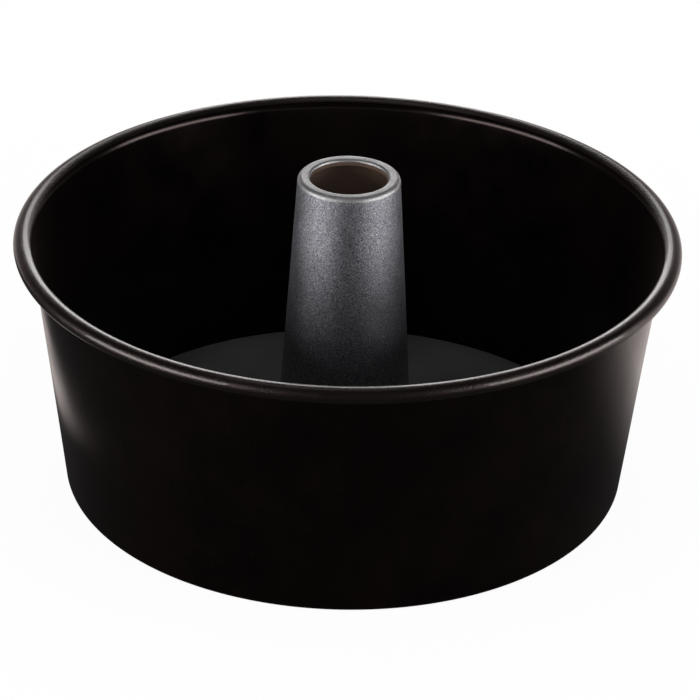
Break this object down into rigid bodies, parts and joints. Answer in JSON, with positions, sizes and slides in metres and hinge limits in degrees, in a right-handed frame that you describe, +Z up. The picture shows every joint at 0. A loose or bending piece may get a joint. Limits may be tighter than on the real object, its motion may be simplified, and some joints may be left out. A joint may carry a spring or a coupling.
{
  "type": "angel food cake pan",
  "caption": "Deep tapered round cake pan with a rolled rim and a loose base that carries a tall hollow centre tube for tall ring-shaped sponge cakes.",
  "frame": {"origin": "centre of the pan at the height of the table it stands on", "axes": "+Z up along the axis of the pan and its centre tube; the pan is round, so X and Y are alike"},
  "size_m": [0.265, 0.265, 0.1305],
  "materials": {
    "dark_nonstick": "satin brown-black non-stick coating on carbon steel",
    "rim_steel": "bare drawn steel wire",
    "charcoal_nonstick": "matte charcoal non-stick coating on carbon steel",
    "grey_fleck_nonstick": "gunmetal grey metallic-fleck non-stick coating on carbon steel"
  },
  "bodies": {
    "pan": {"pan_wall": "dark_nonstick", "rim_wire": "rim_steel"},
    "insert": {"base_plate": "charcoal_nonstick", "centre_tube": "grey_fleck_nonstick"}
  },
  "joints": [
    {"name": "insert_lift", "type": "slide", "parent": "pan", "child": "insert", "axis": [0, 0, 1], "range_m": [0, 0.12]}
  ]
}
